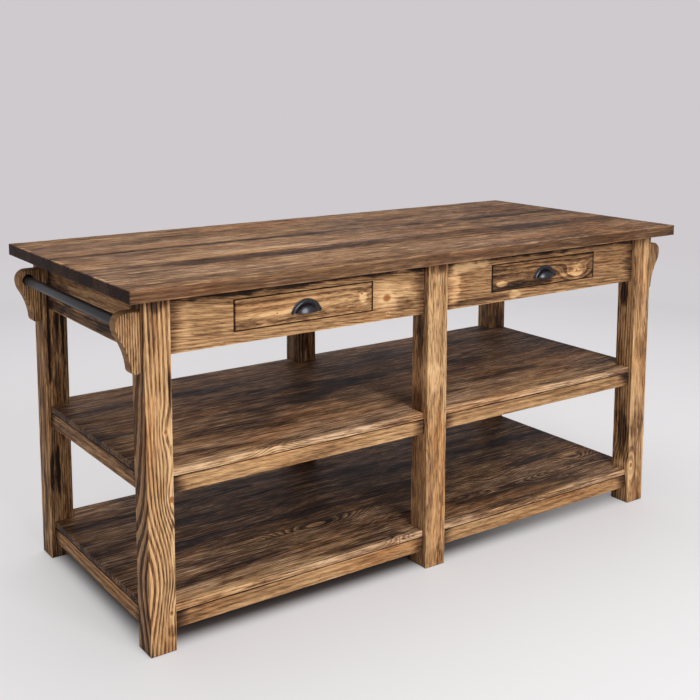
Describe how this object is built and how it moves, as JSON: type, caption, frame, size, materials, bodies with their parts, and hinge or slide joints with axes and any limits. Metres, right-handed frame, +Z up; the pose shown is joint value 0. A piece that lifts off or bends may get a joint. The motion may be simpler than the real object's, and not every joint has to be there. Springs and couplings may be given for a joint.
{
  "type": "kitchen island",
  "caption": "Rustic wooden kitchen island on square legs with drawers, open shelves and a towel bar between scrolled brackets at each end.",
  "frame": {"origin": "on the floor under the middle of the worktop", "axes": "+X to the right along the worktop, -Y to the front where the drawers open, +Z up"},
  "size_m": [1.866, 0.82, 0.904],
  "materials": {
    "worktop_wood": "brushed, stained brown with tan and nearly black bands, satin oil",
    "frame_wood": "brushed, stained golden brown with dark grain streaks and knots, satin oil",
    "shelf_wood": "brushed, stained dark walnut brown with golden front edges, satin oil",
    "inner_wood": "planed pale softwood without stain",
    "pull_metal": "dark gunmetal, soft gloss",
    "bar_metal": "anthracite, satin",
    "screw_steel": "zinc plated"
  },
  "bodies": {
    "frame": {"worktop": "worktop_wood", "leg_front_left": "frame_wood", "leg_front_middle": "frame_wood", "leg_front_right": "frame_wood", "leg_back_left": "frame_wood", "leg_back_middle": "frame_wood", "leg_back_right": "frame_wood", "front_apron_left": "frame_wood", "front_apron_right": "frame_wood", "back_apron_left": "frame_wood", "back_apron_right": "frame_wood", "end_apron_left": "frame_wood", "end_apron_right": "frame_wood", "cross_apron": "frame_wood", "middle_shelf": "shelf_wood", "middle_shelf_front_rail_left": "frame_wood", "middle_shelf_front_rail_right": "frame_wood", "middle_shelf_back_rail_left": "frame_wood", "middle_shelf_back_rail_right": "frame_wood", "middle_shelf_end_rail_left": "frame_wood", "middle_shelf_end_rail_right": "frame_wood", "middle_shelf_cross_rail": "frame_wood", "lower_shelf": "shelf_wood", "lower_shelf_front_rail_left": "frame_wood", "lower_shelf_front_rail_right": "frame_wood", "lower_shelf_back_rail_left": "frame_wood", "lower_shelf_back_rail_right": "frame_wood", "lower_shelf_end_rail_left": "frame_wood", "lower_shelf_end_rail_right": "frame_wood", "lower_shelf_cross_rail": "frame_wood", "bracket_front_left": "frame_wood", "bracket_front_right": "frame_wood", "bracket_back_left": "frame_wood", "bracket_back_right": "frame_wood", "bracket_dowels": "inner_wood", "left_bay_left_runner": "inner_wood", "left_bay_right_runner": "inner_wood", "right_bay_left_runner": "inner_wood", "right_bay_right_runner": "inner_wood", "left_bay_kicker": "inner_wood", "right_bay_kicker": "inner_wood", "stop_blocks": "inner_wood", "worktop_screws": "screw_steel"},
    "left_drawer": {"left_drawer_front": "frame_wood", "left_drawer_left_side": "inner_wood", "left_drawer_right_side": "inner_wood", "left_drawer_back": "inner_wood", "left_drawer_bottom": "inner_wood", "left_drawer_pull": "pull_metal", "left_drawer_pull_screws": "screw_steel"},
    "right_drawer": {"right_drawer_front": "frame_wood", "right_drawer_left_side": "inner_wood", "right_drawer_right_side": "inner_wood", "right_drawer_back": "inner_wood", "right_drawer_bottom": "inner_wood", "right_drawer_pull": "pull_metal", "right_drawer_pull_screws": "screw_steel"},
    "towel_bar_left": {"towel_bar_left": "bar_metal"},
    "towel_bar_right": {"towel_bar_right": "bar_metal"}
  },
  "joints": [
    {"name": "left_drawer_slide", "type": "slide", "parent": "frame", "child": "left_drawer", "axis": [0, -1, 0], "range_m": [0, 0.38]},
    {"name": "right_drawer_slide", "type": "slide", "parent": "frame", "child": "right_drawer", "axis": [0, -1, 0], "range_m": [0, 0.38]},
    {"name": "towel_bar_left_turn", "type": "hinge", "parent": "frame", "child": "towel_bar_left", "pos_m": [-0.905, 0, 0.8103], "axis": [0, 1, 0], "continuous": true},
    {"name": "towel_bar_right_turn", "type": "hinge", "parent": "frame", "child": "towel_bar_right", "pos_m": [0.905, 0, 0.8103], "axis": [0, 1, 0], "continuous": true}
  ]
}
